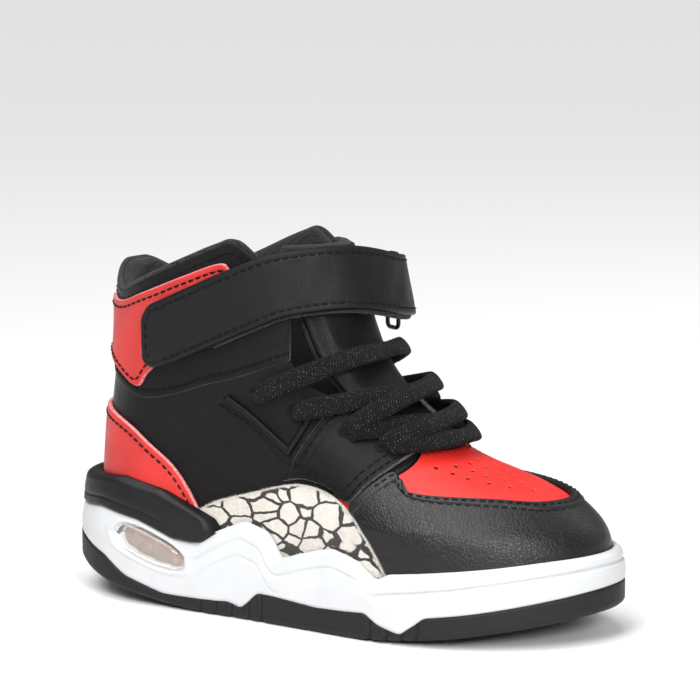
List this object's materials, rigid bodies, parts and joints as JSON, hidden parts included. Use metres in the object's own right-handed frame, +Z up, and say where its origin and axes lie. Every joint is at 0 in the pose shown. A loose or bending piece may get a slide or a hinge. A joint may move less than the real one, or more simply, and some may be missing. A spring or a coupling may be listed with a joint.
{
  "type": "high top basketball shoe",
  "caption": "Child's right high top with a cupped midsole, layered leather panels, elastic lace rows, a tongue and a doubled ankle strap that swings open on a wire ring.",
  "frame": {"origin": "centre of the bounding box on the ground, under the middle of the sole", "axes": "+Y towards the toe, +X towards the outer (lateral) side of the right foot, +Z up"},
  "size_m": [0.0785, 0.192, 0.1203],
  "materials": {
    "red_leather": "smooth satin synthetic leather",
    "black_leather": "smooth matte synthetic leather",
    "pebbled_leather": "tumbled pebbled leather, soft gloss",
    "printed_suede": "pale suede with black crackle lines",
    "white_midsole": "satin moulded foam rubber",
    "black_rubber": "matte moulded rubber",
    "heel_rubber": "satin moulded rubber",
    "clear_plastic": "clear gloss plastic",
    "lining_mesh": "napped knit mesh",
    "foam": "open-cell foam",
    "fibre_board": "pressed fibre board",
    "elastic_lace": "herringbone elastic braid",
    "loop_fabric": "brushed loop fabric",
    "black_wire": "black enamelled wire"
  },
  "bodies": {
    "root": {"vamp": "red_leather", "heel_overlay_lateral": "red_leather", "heel_overlay_medial": "red_leather", "collar_overlay_lateral": "red_leather", "collar_overlay_medial": "red_leather", "quarter_lateral": "black_leather", "quarter_medial": "black_leather", "collar_panel_lateral": "black_leather", "collar_panel_medial": "black_leather", "eyestay_lateral": "black_leather", "eyestay_medial": "black_leather", "lace_wing_lateral": "black_leather", "lace_wing_medial": "black_leather", "back_stay": "black_leather", "ring_tab": "black_leather", "toe_cap": "pebbled_leather", "side_panel_lateral": "printed_suede", "side_panel_medial": "printed_suede", "midsole": "white_midsole", "outsole": "black_rubber", "heel_block": "heel_rubber", "air_window_lateral": "clear_plastic", "air_window_medial": "clear_plastic", "quarter_lining": "lining_mesh", "vamp_lining": "lining_mesh", "sockliner": "lining_mesh", "collar_foam": "foam", "insole_board": "fibre_board", "heel_counter": "fibre_board", "toe_puff": "fibre_board", "lace_row_1": "elastic_lace", "lace_row_2": "elastic_lace", "lace_row_3": "elastic_lace", "lace_row_4": "elastic_lace", "strap_base": "loop_fabric", "strap_ring": "black_wire"},
    "strap_front": {"strap_front": "black_leather"},
    "strap_tip": {"strap_tip": "black_leather", "hook_patch": "loop_fabric"},
    "tongue": {"tongue_face": "black_leather", "tongue_foam": "foam", "tongue_lining": "lining_mesh"}
  },
  "joints": [
    {"name": "strap_swing", "type": "hinge", "parent": "root", "child": "strap_front", "pos_m": [-0.0296, 0.0036, 0.1018], "axis": [0, 0, 1], "range_deg": [0, 100]},
    {"name": "strap_peel", "type": "hinge", "parent": "strap_front", "child": "strap_tip", "pos_m": [0.02762, -0.00509, 0.10653], "axis": [0.0616, -0.2059, 0.9766], "range_deg": [0, 60]},
    {"name": "tongue_tilt", "type": "hinge", "parent": "root", "child": "tongue", "pos_m": [0, 0.0365, 0.0545], "axis": [1, 0, 0], "range_deg": [0, 5]}
  ]
}
